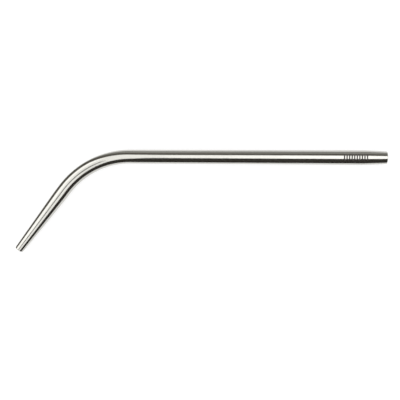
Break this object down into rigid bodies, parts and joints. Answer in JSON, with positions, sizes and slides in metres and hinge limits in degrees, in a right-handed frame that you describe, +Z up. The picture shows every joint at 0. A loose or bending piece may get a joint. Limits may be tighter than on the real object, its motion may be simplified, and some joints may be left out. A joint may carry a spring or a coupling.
{
  "type": "suction cannula",
  "caption": "Bent stainless steel suction tube, open at both ends, with a tapered hose end and a long slim nose drawn down to a narrow tip.",
  "frame": {"origin": "centre of the hose mouth, on the tube's own axis", "axes": "+X points out of the hose mouth along the straight shaft; the bend lies in the XY plane and turns the nose towards -X and -Y; +Z is up, and the cannula lies on its side on a surface half a tube diameter below the origin"},
  "size_m": [0.1741, 0.05, 0.0064],
  "materials": {
    "steel": "polished stainless steel, electropolished to a near mirror with faint drawing lines"
  },
  "bodies": {
    "root": {"cannula_tube": "steel"}
  },
  "joints": []
}
